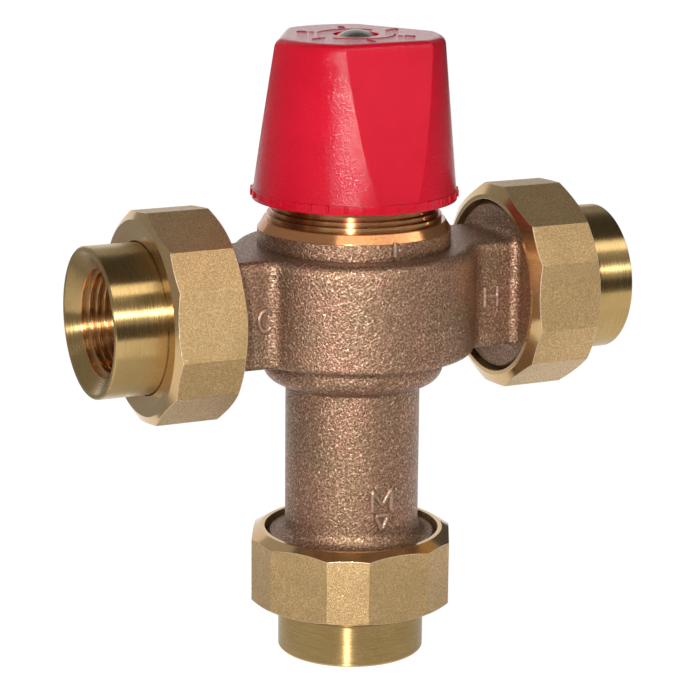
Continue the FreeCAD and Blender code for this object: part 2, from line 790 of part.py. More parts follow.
def draw_ring(body, outside, height):
    """An O-ring of round section, by its outer radius and its middle height."""
    sketch = new_sketch(body, "XZ_Plane")
    draw_circle(sketch, "o_ring_wire - o_ring_fit", outside + " - o_ring_wire", height)
    feature = body.newObject("PartDesign::Revolution", body.Label + "_revolution")
    feature.Profile = sketch
    feature.ReferenceAxis = (sketch, ["V_Axis"])
    feature.Angle = 360
    document.recompute()


# ---------------------------------------------------------------------------------------------------------
# Spindle, held between the bonnet's roof and a circlip
# ---------------------------------------------------------------------------------------------------------
COLLAR_TOP = "(carrier_bore_top - seat_gap)"
CLIP_LOW = "(cover_boss_height + seat_gap)"
CLIP_HIGH = "(" + CLIP_LOW + " + circlip_thickness)"
CLIP_GROOVE = "(spindle_radius - circlip_grip)"
HUB_ROOF = "(cap_top - cap_dish_depth - cap_hub_roof)"
SPINDLE_TOP = "(" + HUB_ROOF + " - seat_gap)"


def make_spindle():
    body = new_body("adjusting_spindle", on_port_axis)
    collar_low = COLLAR_TOP + " - spindle_collar_thickness"
    groove_low = "spindle_ring_height - o_ring_wire"
    groove_high = "spindle_ring_height + o_ring_wire"
    groove = "spindle_radius - " + RING_GROOVE
    socket_end = "cap_top - cap_dish_depth - screw_length - screw_end_gap"
    turn(body, [
        ("0", "spindle_screw_end"),
        ("spindle_screw_radius", "spindle_screw_end"),
        ("spindle_screw_radius", collar_low),
        ("spindle_collar_radius", collar_low),
        ("spindle_collar_radius", COLLAR_TOP),
        ("spindle_radius", COLLAR_TOP),
        ("spindle_radius", groove_low),
        (groove, groove_low),
        (groove, groove_high),
        ("spindle_radius", groove_high),
        ("spindle_radius", CLIP_LOW),
        (CLIP_GROOVE, CLIP_LOW),
        (CLIP_GROOVE, CLIP_HIGH),
        ("spindle_radius", CLIP_HIGH),
        ("spindle_radius", "cap_hub_end - seat_gap"),
        ("spindle_spline_radius", "cap_hub_end - seat_gap"),
        ("spindle_spline_radius", SPINDLE_TOP),
        ("screw_radius + running_clearance", SPINDLE_TOP),
        ("screw_radius + running_clearance", socket_end),
        ("0", socket_end),
    ])
    ring = new_body("spindle_o_ring", on_port_axis)
    draw_ring(ring, "spindle_radius + running_clearance - o_ring_fit", "spindle_ring_height")
    clip = split_ring("spindle_circlip", CLIP_GROOVE + " + o_ring_fit", "circlip_radius",
                      CLIP_LOW + " + o_ring_fit", "circlip_thickness - 2 * o_ring_fit")
    on_port_axis(clip)


# ---------------------------------------------------------------------------------------------------------
# Carrier with the overload spring, its cup and its snap ring
# ---------------------------------------------------------------------------------------------------------
RING_LOW = "(carrier_bottom + snap_ring_inset)"
RING_HIGH = "(" + RING_LOW + " + snap_ring_thickness)"
CUP_LOW = "(" + RING_HIGH + " + seat_gap)"
CUP_HIGH = "(" + CUP_LOW + " + overload_cup_thickness)"


def make_carrier():
    body = new_body("spring_carrier", on_port_axis)
    outside = "carrier_bore_radius - running_clearance"
    turn(body, [
        ("carrier_cup_radius", "carrier_bottom"),
        (outside, "carrier_bottom"),
        (outside, "carrier_top"),
        ("spindle_screw_radius + running_clearance", "carrier_top"),
        ("spindle_screw_radius + running_clearance", "carrier_ceiling"),
        ("carrier_cup_radius", "carrier_ceiling"),
        ("carrier_cup_radius", RING_HIGH),
        ("carrier_cup_radius + snap_ring_grip", RING_HIGH),
        ("carrier_cup_radius + snap_ring_grip", RING_LOW),
        ("carrier_cup_radius", RING_LOW),
    ])
    for side in ("", "-"):
        sketch = new_sketch(body, "XY_Plane", "carrier_bottom")
        root = side + "(carrier_bore_radius - key_root)"
        tip = side + "(carrier_bore_radius + key_depth - key_side_clearance)"
        half = "(key_width / 2 - key_side_clearance)"
        draw_outline(sketch, [(root, "-" + half), (tip, "-" + half), (tip, half), (root, half)])
        extrude(body, sketch, "carrier_top - carrier_bottom")
    ring = split_ring("carrier_snap_ring", "carrier_cup_radius + snap_ring_grip - snap_ring_width",
                      "carrier_cup_radius + snap_ring_grip - o_ring_fit",
                      RING_LOW + " + o_ring_fit", "snap_ring_thickness - 2 * o_ring_fit")
    on_port_axis(ring)
    cup = new_body("overload_cup", on_port_axis)
    tube(cup, "0", "carrier_cup_radius - seat_gap", CUP_LOW, CUP_HIGH)
    spring = new_body("overload_spring", on_port_axis)
    coil(spring, "overload_spring_radius", "overload_spring_wire", CUP_HIGH, "carrier_ceiling",
         "overload_spring_pitch")


# ---------------------------------------------------------------------------------------------------------
# Wax element with its piston, shuttle and return spring
# ---------------------------------------------------------------------------------------------------------
def make_element():
    piston = new_body("element_piston", on_port_axis)
    tube(piston, "0", "piston_radius", "-piston_reach", CUP_LOW)
    body = new_body("wax_element", on_port_axis)
    flange_low = "shuttle_hub_half_height"
    flange_high = flange_low + " + element_flange_thickness"
    bore = "piston_radius + running_clearance"
    casing = turn(body, [
        ("0", "-bulb_end"),
        ("bulb_radius", "-bulb_end"),
        ("bulb_radius", "-element_shoulder"),
        ("element_radius", "-element_shoulder"),
        ("element_radius", flange_low),
        ("element_flange_radius", flange_low),
        ("element_flange_radius", flange_high),
        ("element_nose_radius", flange_high),
        ("element_nose_radius", "element_nose_top"),
        (bore, "element_nose_top"),
        (bore, "-element_bore_depth"),
        ("0", "-element_bore_depth"),
    ])
    dress(body, casing, ring_edges(casing, "bulb_radius", "-bulb_end"), "bulb_round")


def make_shuttle():
    """A sleeve with a windowed web that the element's flange sits on, grooved for its ring."""
    body = new_body("shuttle", on_port_axis)
    groove = "shuttle_radius - " + RING_GROOVE + " + running_clearance"
    inside = "shuttle_radius - shuttle_wall - o_ring_wire"
    skirt = "shuttle_radius - shuttle_wall"
    hub = "element_radius + running_clearance"
    turn(body, [
        (hub, "-shuttle_hub_half_height"),
        (inside, "-shuttle_hub_half_height"),
        (inside, "-2 * o_ring_wire"),
        (skirt, "-shuttle_half_height"),
        ("shuttle_radius", "-shuttle_half_height"),
        ("shuttle_radius", "-o_ring_wire"),
        (groove, "-o_ring_wire"),
        (groove, "o_ring_wire"),
        ("shuttle_radius", "o_ring_wire"),
        ("shuttle_radius", "shuttle_half_height"),
        (skirt, "shuttle_half_height"),
        (inside, "2 * o_ring_wire"),
        (inside, "shuttle_hub_half_height"),
        (hub, "shuttle_hub_half_height"),
    ])
    before = body.Shape.Volume
    sketch = new_sketch(body, "XY_Plane", "-shuttle_hub_half_height - cut_overrun")
    draw_circle(sketch, "shuttle_window_radius", "shuttle_window_pitch_radius")
    window = extrude(body, sketch, "2 * (shuttle_hub_half_height + cut_overrun)", "Pocket", reverse=True)
    repeat(body, window, SHUTTLE_WINDOWS)
    assert body.Shape.Volume < before
    ring = new_body("shuttle_o_ring", on_port_axis)
    draw_ring(ring, "shuttle_radius + running_clearance - o_ring_fit", "0")
    seat_top = "-spring_step_depth + spring_seat_thickness"
    seat = new_body("spring_seat", on_port_axis)
    tube(seat, "spring_seat_bore", "outlet_bore_radius - seat_gap", "-spring_step_depth", seat_top)
    spring = new_body("return_spring", on_port_axis)
    coil(spring, "return_spring_radius", "return_spring_wire", seat_top, "-shuttle_hub_half_height",
         "return_spring_pitch")


# ---------------------------------------------------------------------------------------------------------
# Adjusting cap and its screw
# ---------------------------------------------------------------------------------------------------------
RIM_TOP = "(cap_base + cap_rim_height)"
DISH = "(cap_top - cap_dish_depth)"
ROOF = "(cap_top - cap_roof)"


def make_cap():
    """A moulded hollow cone with three flats that run out at its toothed rim, and a splined hub."""
    body = new_body("adjusting_cap", on_port_axis)
    cone = turn(body, [
        ("0", "cap_base"),
        ("cap_rim_radius", "cap_base"),
        ("cap_rim_radius", RIM_TOP),
        ("cap_base_radius", RIM_TOP),
        ("cap_top_radius", "cap_top"),
        ("0", "cap_top"),
    ])
    before = cone.Shape.Volume
    sketch = new_sketch(body, "YZ_Plane")
    outside = "-(cap_rim_radius + cut_overrun)"
    draw_outline(sketch, [
        ("-cap_flat_base", RIM_TOP),
        ("-cap_flat_top", "cap_top"),
        (outside, "cap_top"),
        (outside, RIM_TOP),
    ])
    flat = extrude(body, sketch, "4 * cap_rim_radius", "Pocket", midplane=True)
    flats = repeat(body, flat, CAP_FLATS)
    assert flats.Shape.Volume < before
    top = value("cap_top")
    crown = edges_where(flats, lambda edge, middle: abs(middle.z - top) < NEAR)
    dress(body, flats, crown, "cap_top_round")
    tooth = new_sketch(body, "XY_Plane", "cap_base + cap_tooth_lift")
    inner = "(cap_rim_radius - cap_tooth_root)"
    outer = "(cap_rim_radius + cap_tooth_depth)"
    draw_outline(tooth, [
        (inner, "-cap_tooth_width / 2"),
        (outer, "-cap_tooth_width / 4"),
        (outer, "cap_tooth_width / 4"),
        (inner, "cap_tooth_width / 2"),
    ])
    rib = extrude(body, tooth, "cap_rim_height - cap_tooth_lift")
    repeat(body, rib, CAP_TEETH)
    spline = "spindle_spline_radius + running_clearance"
    turn(body, [
        ("0", "cap_base"),
        ("cap_flat_base - cap_wall", "cap_base"),
        ("cap_flat_base - cap_wall", RIM_TOP),
        ("cap_flat_top - cap_wall", ROOF),
        ("cap_hub_radius", ROOF),
        ("cap_hub_radius", "cap_hub_end"),
        (spline, "cap_hub_end"),
        (spline, HUB_ROOF),
        ("screw_radius + running_clearance", HUB_ROOF),
        ("screw_radius + running_clearance", DISH),
        ("cap_dish_radius", DISH),
        ("cap_dish_radius", "cap_top"),
        ("0", "cap_top"),
    ], "Groove")


def make_cap_screw():
    """A threaded shank under a domed head."""
    body = new_body("cap_screw", on_port_axis)
    tube(body, "0", "screw_radius", DISH + " - screw_length", DISH)
    dome(body, "screw_head_radius", DISH, "screw_edge", "screw_dome")


# ---------------------------------------------------------------------------------------------------------
# Assembly
# ---------------------------------------------------------------------------------------------------------
def check_document():
    """Stop on any failed feature or broken solid."""
    for item in document.Objects:
        if "Invalid" in item.State or "Error" in item.State:
            raise RuntimeError(item.Label + " failed: " + " ".join(item.State))
    for body in nodes:
        if body.Shape.isNull() or not body.Shape.isValid():
            raise RuntimeError(body.Label + " has no valid solid")


def export_nodes():
    os.makedirs("parts", exist_ok=True)
    for body in nodes:
        body.Shape.exportStep(os.path.join("parts", body.Label + ".step"))
        box = body.Shape.BoundBox
        print("%-22s solids %d  volume %9.1f  z %7.2f to %7.2f" % (
            body.Label, len(body.Shape.Solids), body.Shape.Volume, box.ZMin, box.ZMax))


make_valve_body()
make_bonnet()
make_spindle()
make_carrier()
make_element()
make_shuttle()
make_cap()
make_cap_screw()
for port, place in PORTS.items():
    make_union_nut(port, place)
    make_tailpiece(port, place)
    make_gasket(port, place)
for port, place in INLETS.items():
    make_inlet_screen(port, place)
    make_check_valve(port, place)
document.recompute()
check_document()
export_nodes()
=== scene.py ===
"""Looks of the tempering mixing valve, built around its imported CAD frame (metres, +Z up)."""
import json
import math

import bmesh
import bpy
from mathutils import Matrix, Vector


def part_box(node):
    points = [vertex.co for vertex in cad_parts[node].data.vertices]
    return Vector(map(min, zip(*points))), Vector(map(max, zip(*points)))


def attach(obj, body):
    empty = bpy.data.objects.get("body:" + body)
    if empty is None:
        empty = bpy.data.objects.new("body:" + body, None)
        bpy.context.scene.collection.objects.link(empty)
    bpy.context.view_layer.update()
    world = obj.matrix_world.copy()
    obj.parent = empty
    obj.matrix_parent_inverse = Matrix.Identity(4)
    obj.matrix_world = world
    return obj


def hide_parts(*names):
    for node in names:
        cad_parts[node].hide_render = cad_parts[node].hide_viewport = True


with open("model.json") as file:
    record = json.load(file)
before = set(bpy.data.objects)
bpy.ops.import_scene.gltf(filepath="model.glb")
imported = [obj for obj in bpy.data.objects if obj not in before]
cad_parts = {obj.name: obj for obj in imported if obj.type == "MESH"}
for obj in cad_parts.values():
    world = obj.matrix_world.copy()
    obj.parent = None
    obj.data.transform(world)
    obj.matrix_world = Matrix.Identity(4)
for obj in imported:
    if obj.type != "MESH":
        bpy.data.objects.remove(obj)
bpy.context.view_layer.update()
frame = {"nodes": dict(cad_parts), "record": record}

MM = 0.001
PORTS = ("cold", "hot", "outlet")
nodes = frame["nodes"]
mounts = {mount["name"]: mount for mount in frame["record"]["mounts"]}
port_height = mounts["cold_port"]["pos_m"][2]

# Sizes that the looks share with the solids
NECK_RADIUS = 23.1 * MM
NECK_TOP = port_height + 17.5 * MM
ARM_HALF_DEPTH = 12.5 * MM
LEG_RADIUS = 16.2 * MM
TAIL_RADIUS = 17.75 * MM
COLLAR_RADIUS = 19.4 * MM
COLLAR_LENGTH = 1.9 * MM
THROAT_RADIUS = 10.5 * MM
TAIL_EDGE = 0.3 * MM

# 3/4 inch taper pipe thread
PIPE_PITCH = 1.814 * MM
PIPE_MAJOR = 26.57 * MM             # diameters at the mouth
PIPE_MINOR = 23.67 * MM
PIPE_TAPER = 1 / 32                 # loss of radius for each unit of depth
PIPE_LENGTH = 11.4 * MM
PIPE_MOUTH_RADIUS = 16.5 * MM
PIPE_MOUTH_DEPTH = 3.1 * MM
THREAD_LEAD = 0.25                  # pitches of thread that run out into the mouth cone
THREAD_RUN_IN = 0.6                 # share of the full depth at the cone's foot
THREAD_FLATTENING = 1.3             # 1 is a sharp V, and more leaves flats on crests and roots
THREAD_ROWS = 14                    # rows of mesh to one pitch
THREAD_STEPS = 192                  # columns of mesh round the bore
SHARP_ANGLE = math.radians(34)      # edges sharper than this are not shaded smooth

# Cast marks: a letter on each arm, a letter and an arrow on the leg, a gate's stub on the neck
ARM_LETTERS = (("C", -28.4 * MM, 86.9 * MM), ("H", 30.7 * MM, 87.5 * MM))
LETTER_WIDE = 3.4 * MM
LETTER_TALL = 4.9 * MM
LEG_LETTER_WIDE = 5.0 * MM
LEG_LETTER_TALL = 5.2 * MM
LEG_LETTER_HEIGHT = 41.0 * MM
ARROW_WIDE = 3.4 * MM
ARROW_TALL = 3.8 * MM
ARROW_HEIGHT = 35.4 * MM
LEG_MARKS_TURN = 1.2                # degrees round the leg
STROKE = 1.2 * MM
STROKE_RISE = 0.62 * MM
BEND_STEP = 0.4 * MM                # longest straight run of a stroke bent round the leg
GATE_LOW = -1.6 * MM
GATE_HIGH = 1.7 * MM
GATE_WIDTH = 1.3 * MM
GATE_RISE = 0.55 * MM
GATE_HEIGHT = 103.4 * MM
GATE_TURN = -1.0                    # degrees round the neck
LETTER_C_ENDS = (40, 320)           # where the arc of the C starts and ends, in degrees
LETTER_M_DIP = 0.4                  # how low the middle of the M reaches, as a share of its half height
ARC_STEPS = 20

# Dial on the cap's top
DIAL_NUMBERS = 6
DIAL_START = -160                   # direction of the number 1 in degrees
DIAL_ARCS = ((-150, -20), (40, 140))
DIAL_ARC_RADIUS = 9.2 * MM
DIAL_TICK_INSIDE = 10.2 * MM
DIAL_TICK_OUTSIDE = 11.4 * MM
DIAL_NUMBER_RADIUS = 13.2 * MM
DIAL_NUMBER_TALL = 2.6 * MM
DIAL_STROKE = 0.42 * MM
DIAL_RISE = 0.12 * MM
DIAL_EDGE = 0.02 * MM
FONT_SCALE = 1.4                    # font size to the height of its figures

# Camera, from a fit of the valve's own sizes; angles in degrees, lens and sensor in millimetres
AZIMUTH = -25.53
ELEVATION = 13.88
ROLL = 0.545
DISTANCE = 653.4 * MM
AIM = Vector((-0.74 * MM, 0.0, port_height - 12.8 * MM))
FOCAL = 139.7
SENSOR = 36.0
CLIP_START = 0.01

# Light on matt surfaces and the floor: ambient level, share and level of the floor's own white
AMBIENT = 0.28
FLOOR_WHITE = 0.85
FLOOR_LEVEL = 1.14
FLOOR_COLOUR = (0.93, 0.93, 0.93)
FLOOR_RADIUS = 3.0
FLOOR_SIDES = 96
# Square lamps: name, azimuth and elevation in degrees, distance, side, power in watts
LAMPS = (
    ("flash", -30, 19, 0.9, 0.07, 9.0),
    ("fill", 60, 25, 1.1, 0.6, 1.3),
)
STRIP_REACH = 1.5                   # half the length of a bent card
STRIP_STEP = 6.0                    # degrees to one of its facets
# Cards bent round the ports' height: name, radius, first and last angle up from the front, level
STRIPS = (
    ("flag_front", 0.30, -16.0, 6.0, 0.07),
    ("card_low", 1.0, 6.0, 24.0, 0.34),
    ("strip_front", 0.98, 19.5, 21.5, 7.0),
    ("card_front", 1.0, 24.0, 50.0, 0.19),
    ("card_bright", 0.98, 50.0, 66.0, 2.6),
    ("flag_top", 1.0, 66.0, 126.0, 0.06),
    ("card_back", 1.0, 126.0, 154.0, 0.45),
)
# Cards that stand beside the valve: name, level, X, span along Y, span along Z
STANDING_CARDS = (
    ("card_left", 0.30, -0.45, (-0.35, 1.6), (0.02, 1.2)),
    ("card_right", 0.06, 0.62, (-0.7, 0.9), (0.0, 0.5)),
)
# Cards that lie on the floor: name, level, span along X, span along Y, Z
LYING_CARDS = (
    ("card_floor_left", 0.30, (-0.9, -0.09), (0.03, 1.4), 0.002),
    # A grey card near the valve's foot, a painted shadow on the floor that shiny surfaces see
    ("floor_shadow_card", 0.62, (-0.07, 0.07), (-0.10, 0.05), 0.0005),
)

# Colours in linear RGB; a ramp's stops are (position, colour), from pits to crests
WHITE = (1.0, 1.0, 1.0)
BLACK = (0.0, 0.0, 0.0)
# Grain colours of the bronze, the top stop a painted glint on the crests
BRONZE_GRAIN_GLINT_RAMP = (
    (0.28, (0.095, 0.049, 0.028)),
    (0.45, (0.205, 0.117, 0.072)),
    (0.58, (0.350, 0.212, 0.145)),
    (0.74, (0.740, 0.520, 0.420)),
)
BRONZE_GREENER = (0.92, 0.96, 0.86)
BRONZE_PINKER = (1.10, 1.0, 0.96)
# Pale pink painted highlight on the raised cast marks
BRONZE_MARK_HIGHLIGHT = (0.60, 0.44, 0.34)
# Turned neck cone, reddened by a painted reflection of the red cap
BRONZE_TURNED_CAP_REFLECTION = (0.50, 0.22, 0.085)
NUT_RAMP = (
    (0.30, (0.310, 0.190, 0.075)),
    (0.50, (0.530, 0.345, 0.155)),
    (0.70, (0.800, 0.570, 0.320)),
)
NUT_BLOTCH = (0.37, 0.255, 0.110)
# Pale pink painted highlight along the nut's facet edges
NUT_PAINTED_HIGHLIGHT = (0.90, 0.70, 0.58)
NUT_TURNED = (0.60, 0.40, 0.19)
BRASS_DARK = (0.47, 0.310, 0.120)
BRASS_LIGHT = (0.53, 0.365, 0.155)
BRASS_STAIN = (0.40, 0.25, 0.10)
BRASS_BORE = (0.56, 0.32, 0.13)
# Painted reflection of the red cap in the cover's recesses
COVER_CAP_REFLECTION = (0.42, 0.06, 0.025)
CAP_DARK = (0.40, 0.001, 0.012)
CAP_LIGHT = (0.45, 0.002, 0.016)
# Marks on the cap's top, darker red as a painted shade
MARK_SHADED_DARK = (0.22, 0.004, 0.012)
MARK_SHADED_LIGHT = (0.32, 0.010, 0.022)


# Grain sizes, and how deep the grain is
BRONZE_GRAIN = 0.46 * MM
BRONZE_CELLS = 0.55 * MM
BRONZE_DEPTH = 0.32 * MM
BRONZE_FINE_GRAIN = 0.28 * MM
BRONZE_FINE_DEPTH = 0.07 * MM
BRONZE_PATCHES = 11 * MM
# Reach of the painted shade in the bronze's corners
BRONZE_SHADE_REACH = 2.0 * MM
NUT_GRAIN = 0.40 * MM
NUT_DEPTH = 0.16 * MM
NUT_BLOTCHES = 7 * MM
# Width of the painted edge highlight on the nuts
NUT_HIGHLIGHT_WIDTH = 0.35 * MM
NUT_LINES = 0.12 * MM
NUT_LINE_DEPTH = 0.006 * MM
BRASS_LINES = 0.13 * MM
BRASS_LINE_DEPTH = 0.002 * MM
BRASS_TONES = 12 * MM
BRASS_STAINS = 2.5 * MM
# Reach of the painted reflection of the cap
CAP_REFLECTION_REACH = 6.0 * MM
CAP_GRAIN = 0.44 * MM
CAP_DEPTH = 0.13 * MM
CAP_TONES = 14 * MM
MARK_GRAIN = 0.3 * MM
SOFT_DEPTH = 0.03 * MM
STEEL_DEPTH = 0.01 * MM

# Radii that edges look rounded to
BRONZE_EDGE = 0.5 * MM
NUT_EDGE = 0.25 * MM
BRASS_EDGE = 0.15 * MM
CAP_EDGE = 0.3 * MM
STEEL_EDGE = 0.15 * MM


def opaque(colour):
    return (*colour, 1.0)


def port_axis(port):
    """Index of the axis that a port lies along."""
    return [abs(part) > 0.5 for part in mounts[port + "_port"]["axis"]].index(True)


def new_object(name, data):
    """An object linked to the scene."""
    thing = bpy.data.objects.new(name, data)
    bpy.context.scene.collection.objects.link(thing)
    return thing


# ------------------------------------------------------------------------------------------------
# Node materials
# ------------------------------------------------------------------------------------------------
class Shader:
    """A node material built by short calls; positions are read in the object's own metres."""

    def __init__(self, name):
        self.material = bpy.data.materials.new(name)
        self.material.use_nodes = True
        self.tree = self.material.node_tree
        self.tree.nodes.clear()
        self.surface = self.add("ShaderNodeBsdfPrincipled")
        self.output = self.add("ShaderNodeOutputMaterial")
        self.link(self.surface.outputs[0], self.output.inputs["Surface"])
        self.coordinates = self.add("ShaderNodeTexCoord")
        self.place = self.coordinates.outputs["Object"]

    def add(self, kind, **settings):
        node = self.tree.nodes.new(kind)
        for key, setting in settings.items():
            setattr(node, key, setting)
        return node

    def link(self, source, target):
        self.tree.links.new(source, target)

    def put(self, target, source):
        """Link a socket, or set a plain value."""
        if isinstance(source, bpy.types.NodeSocket):
            self.link(source, target)
        else:
            target.default_value = source

    def set(self, **inputs):
        """Inputs of the shader itself, with underscores for spaces."""
        for key, source in inputs.items():
            self.put(self.surface.inputs[key.replace("_", " ")], source)

    def math(self, operation, first, second=0.0):
        node = self.add("ShaderNodeMath", operation=operation)
        self.put(node.inputs[0], first)
        self.put(node.inputs[1], second)
        return node.outputs[0]

    def separate(self, vector):
        node = self.add("ShaderNodeSeparateXYZ")
        self.link(vector, node.inputs[0])
        return node.outputs

    def from_axis(self):
        """Distance from the object's own Z axis."""
        spot = self.separate(self.place)
        squares = [self.math("MULTIPLY", spot[name], spot[name]) for name in "XY"]
        return self.math("SQRT", self.math("ADD", *squares))

    def noise(self, size, detail=4.0, roughness=0.55, place=None):
        """Noise whose features are about size metres across."""
        node = self.add("ShaderNodeTexNoise")
        self.link(place or self.place, node.inputs["Vector"])
        node.inputs["Scale"].default_value = 1.0 / size
        node.inputs["Detail"].default_value = detail
        node.inputs["Roughness"].default_value = roughness
        return node.outputs["Fac"]

    def cells(self, size):
        """Distance from the middles of cells about size metres across."""
        node = self.add("ShaderNodeTexVoronoi")
        self.link(self.place, node.inputs["Vector"])
        node.inputs["Scale"].default_value = 1.0 / size
        return node.outputs["Distance"]

    def stretch(self, vector, scale):
        node = self.add("ShaderNodeMapping")
        self.link(vector, node.inputs["Vector"])
        node.inputs["Scale"].default_value = scale
        return node.outputs[0]

    def ramp(self, factor, stops):
        """A colour ramp from (position, colour) stops."""
        node = self.add("ShaderNodeValToRGB")
        elements = node.color_ramp.elements
        while len(elements) > 1:
            elements.remove(elements[-1])
        for index, (position, colour) in enumerate(stops):
            element = elements[0] if index == 0 else elements.new(position)
            element.position = position
            element.color = opaque(colour)
        self.link(factor, node.inputs[0])
        return node.outputs[0]

    def span(self, source, low, high, to_low=0.0, to_high=1.0):
        """Map a range to another one, clamped."""
        node = self.add("ShaderNodeMapRange")
        self.link(source, node.inputs["Value"])
        ends = {"From Min": low, "From Max": high, "To Min": to_low, "To Max": to_high}
        for name, number in ends.items():
            node.inputs[name].default_value = number
        return node.outputs["Result"]

    def spread(self, noise, to_low=0.0, to_high=1.0, half=0.2):
        """Map the middle of a noise, half either way from 0.5, to a range."""
        return self.span(noise, 0.5 - half, 0.5 + half, to_low, to_high)

    def mix(self, factor, first, second, blend="MIX"):
        """Mix two colours."""
        node = self.add("ShaderNodeMix", data_type="RGBA", blend_type=blend)
        self.put(node.inputs["Factor"], factor)
        for socket, source in ((node.inputs[6], first), (node.inputs[7], second)):
            self.put(socket, opaque(source) if isinstance(source, tuple) else source)
        return node.outputs[2]

    def bump(self, height, distance, strength, base=None):
        node = self.add("ShaderNodeBump")
        self.link(height, node.inputs["Height"])
        node.inputs["Distance"].default_value = distance
        node.inputs["Strength"].default_value = strength
        if base is not None:
            self.link(base, node.inputs["Normal"])
        return node.outputs[0]

    def soft_edges(self, radius):
        node = self.add("ShaderNodeBevel", samples=4)
        node.inputs["Radius"].default_value = radius
        return node.outputs[0]

    def crevices(self, reach, darkest):
        """A factor from ambient occlusion that falls to darkest in corners and recesses, where painted
        shade and painted reflections go.
        """
        node = self.add("ShaderNodeAmbientOcclusion", samples=8)
        node.inputs["Distance"].default_value = reach
        return self.span(node.outputs["AO"], 0.35, 0.85, darkest, 1.0)

    def worn_edges(self, radius, axis):
        """1 on the sharp edges that run across an axis and 0 elsewhere, for a painted highlight along
        them.
        """
        soft = self.soft_edges(radius)
        across = self.add("ShaderNodeVectorMath", operation="DOT_PRODUCT")
        self.link(soft, across.inputs[0])
        self.link(self.add("ShaderNodeNewGeometry").outputs["Normal"], across.inputs[1])
        sharp = self.span(across.outputs["Value"], 0.995, 0.95)
        lean = self.math("ABSOLUTE", self.separate(soft)[axis])
        return self.math("MULTIPLY", sharp, self.span(lean, 0.05, 0.15))

    def turned_lines(self, axis, pitch):
        """Fine circular tool marks round an axis, as noise that hardly varies but along it."""
        scale = [0.02, 0.02, 0.02]
        scale["XYZ".index(axis)] = 1.0
        return self.noise(pitch, detail=3.0, roughness=0.7, place=self.stretch(self.place, scale))


def cast_bronze(name="cast_bronze", relief=1.0, mark_highlight=0.0):
    """Sand-cast bronze: coarse grain, brown with dark pits and pinkish crests lightened as painted
    glints, with painted shade in corners.

    The cone on top of the neck is turned, and redder from a painted reflection of the red cap. Raised
    marks have less relief and a painted highlight that lightens them.
    """
    look = Shader(name)
    height = look.separate(look.place)["Z"]
    above_neck = look.span(height, NECK_TOP - 0.05 * MM, NECK_TOP + 0.05 * MM)
    on_cone = look.span(look.from_axis(), NECK_RADIUS + 0.3 * MM, NECK_RADIUS + 0.1 * MM)
    turned = look.math("MULTIPLY", above_neck, on_cone)
    cast = look.math("SUBTRACT", 1.0, turned)
    grain = look.noise(BRONZE_GRAIN, detail=3.0, roughness=0.62)
    crest = look.math("ADD", look.math("MULTIPLY", grain, 0.7),
                      look.math("MULTIPLY", look.cells(BRONZE_CELLS), 0.3))
    patches = look.spread(look.noise(BRONZE_PATCHES, detail=3.0), half=0.15)
    tint = look.mix(patches, BRONZE_GREENER, BRONZE_PINKER)
    # Grain colour, with painted glints on the crests
    colour = look.mix(1.0, look.ramp(crest, BRONZE_GRAIN_GLINT_RAMP), tint, "MULTIPLY")
    # Painted shade: the bronze darkens in corners and recesses, from ambient occlusion
    painted_shade = look.crevices(BRONZE_SHADE_REACH, 0.3 + 0.7 * mark_highlight)
    colour = look.mix(1.0, colour, painted_shade, "MULTIPLY")
    # Painted highlight: raised marks lightened, with less painted shade round them
    if mark_highlight:
        colour = look.mix(0.5 * mark_highlight, colour, BRONZE_MARK_HIGHLIGHT)
    # The turned cone's colour holds a painted reflection of the red cap
    look.set(Base_Color=look.mix(turned, colour, BRONZE_TURNED_CAP_REFLECTION), Metallic=0.85)
    matt = look.spread(crest, 0.50, 0.29)
    look.set(Roughness=look.math("SUBTRACT", matt, look.math("MULTIPLY", turned, 0.25)))
    coarse = look.bump(look.math("MULTIPLY", crest, cast), BRONZE_DEPTH, 0.85 * relief,
                       look.soft_edges(BRONZE_EDGE))
    fine = look.math("MULTIPLY", look.noise(BRONZE_FINE_GRAIN, detail=3.0), cast)
    look.set(Normal=look.bump(fine, BRONZE_FINE_DEPTH, 0.6 * relief, coarse))
    return look.material


def blasted_brass(name, axis):
    """Forged brass nut: satin grain on its facets, bright turned cones and faces across its axis."""
    look = Shader(name)
    normal = look.separate(look.coordinates.outputs["Normal"])[axis]
    turned = look.span(look.math("ABSOLUTE", normal), 0.25, 0.45)
    blasted = look.math("SUBTRACT", 1.0, turned)
    grain = look.noise(NUT_GRAIN, roughness=0.7)
    blotches = look.spread(look.noise(NUT_BLOTCHES), 0.0, 0.3, half=0.15)
    satin = look.mix(blotches, look.ramp(grain, NUT_RAMP), NUT_BLOTCH)
    # Painted highlight: a pale pink line along the edges between the facets and the end faces
    edge_highlight = look.math("MULTIPLY", look.worn_edges(NUT_HIGHLIGHT_WIDTH, axis), 0.9)
    satin = look.mix(edge_highlight, satin, NUT_PAINTED_HIGHLIGHT)
    look.set(Base_Color=look.mix(turned, satin, NUT_TURNED), Metallic=0.95)
    matt = look.spread(grain, 0.46, 0.28)
    look.set(Roughness=look.math("SUBTRACT", matt, look.math("MULTIPLY", turned, 0.22)))
    base = look.bump(look.turned_lines(axis, NUT_LINES), NUT_LINE_DEPTH, 0.5, look.soft_edges(NUT_EDGE))
    look.set(Normal=look.bump(look.math("MULTIPLY", grain, blasted), NUT_DEPTH, 1.0, base))
    return look.material


